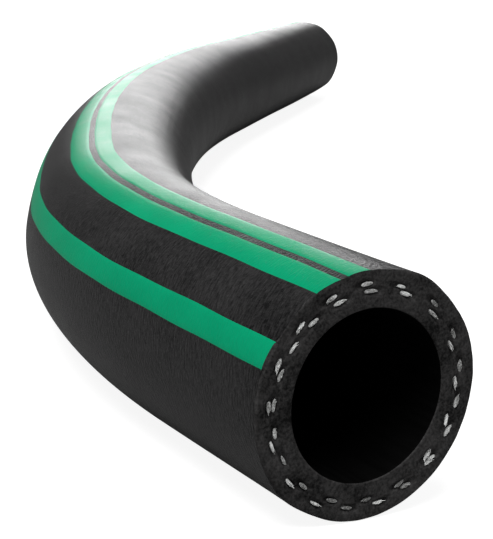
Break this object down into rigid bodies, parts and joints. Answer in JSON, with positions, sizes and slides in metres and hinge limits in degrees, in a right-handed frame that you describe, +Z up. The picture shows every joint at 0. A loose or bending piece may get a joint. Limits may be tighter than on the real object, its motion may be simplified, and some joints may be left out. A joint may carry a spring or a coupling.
{
  "type": "reinforced rubber hose",
  "caption": "Bent cut length of textile-reinforced rubber water hose with a smooth open bore, spiral yarn plies and inlaid stripes.",
  "frame": {"origin": "on the floor, at the middle of the bounding box seen from above", "axes": "+Z up; the hose leaves its near cut end along +Y, and that end's face looks along -Y; it bends to the right, towards +X"},
  "size_m": [0.2098, 0.3136, 0.023],
  "materials": {
    "tube_rubber": "smooth matte black",
    "ply_yarn": "off-white twisted textile yarn",
    "tie_rubber": "matte black",
    "cover_rubber": "matte black with the print of a curing wrap",
    "stripe_rubber": "satin green"
  },
  "bodies": {
    "root": {"inner_tube": "tube_rubber", "inner_yarn_ply": "ply_yarn", "tie_layer": "tie_rubber", "outer_yarn_ply": "ply_yarn", "cover": "cover_rubber", "single_stripe": "stripe_rubber", "lower_twin_stripe": "stripe_rubber", "upper_twin_stripe": "stripe_rubber"}
  },
  "joints": []
}
